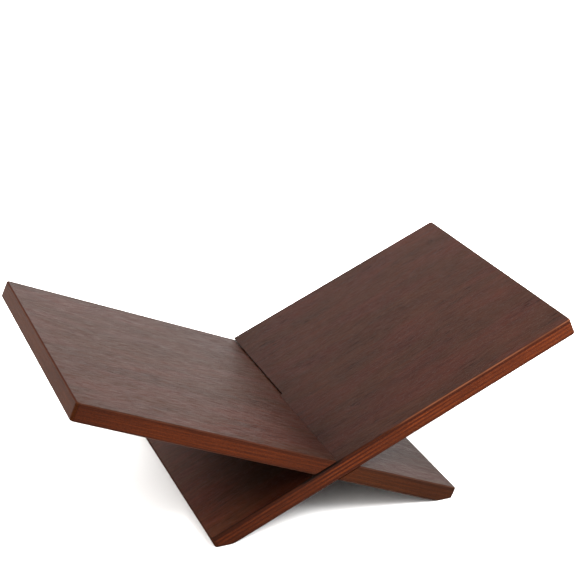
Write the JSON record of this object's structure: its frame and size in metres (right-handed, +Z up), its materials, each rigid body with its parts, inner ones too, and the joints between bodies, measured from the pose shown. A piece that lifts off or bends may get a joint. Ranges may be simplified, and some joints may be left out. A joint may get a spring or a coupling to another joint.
{
  "type": "book display stand",
  "caption": "Two plywood boards that cross in an X through half-lap slots and hold an open book in the upper V.",
  "frame": {"origin": "on the table under the line where the two top faces cross, at mid-depth", "axes": "+X from the left board's upper end to the right board's upper end, +Y from the front edges to the rear edges, +Z up"},
  "size_m": [0.4114, 0.25, 0.1415],
  "materials": {
    "face_veneer": "brown stain under a thin satin lacquer, fine straight grain along the board",
    "long_ply": "stained edge of a ply whose grain runs along the board",
    "cross_ply": "darker stained end grain of a ply laid across the board"
  },
  "bodies": {
    "left_board": {"left_top_face_veneer": "face_veneer", "left_cross_ply_1": "cross_ply", "left_long_ply_1": "long_ply", "left_cross_ply_2": "cross_ply", "left_centre_ply": "long_ply", "left_cross_ply_3": "cross_ply", "left_long_ply_2": "long_ply", "left_cross_ply_4": "cross_ply", "left_bottom_face_veneer": "face_veneer"},
    "right_board": {"right_top_face_veneer": "face_veneer", "right_cross_ply_1": "cross_ply", "right_long_ply_1": "long_ply", "right_cross_ply_2": "cross_ply", "right_centre_ply": "long_ply", "right_cross_ply_3": "cross_ply", "right_long_ply_2": "long_ply", "right_cross_ply_4": "cross_ply", "right_bottom_face_veneer": "face_veneer"}
  },
  "joints": [
    {"name": "boards_slide_apart", "type": "slide", "parent": "left_board", "child": "right_board", "axis": [0, -1, 0], "range_m": [0, 0.13]}
  ]
}
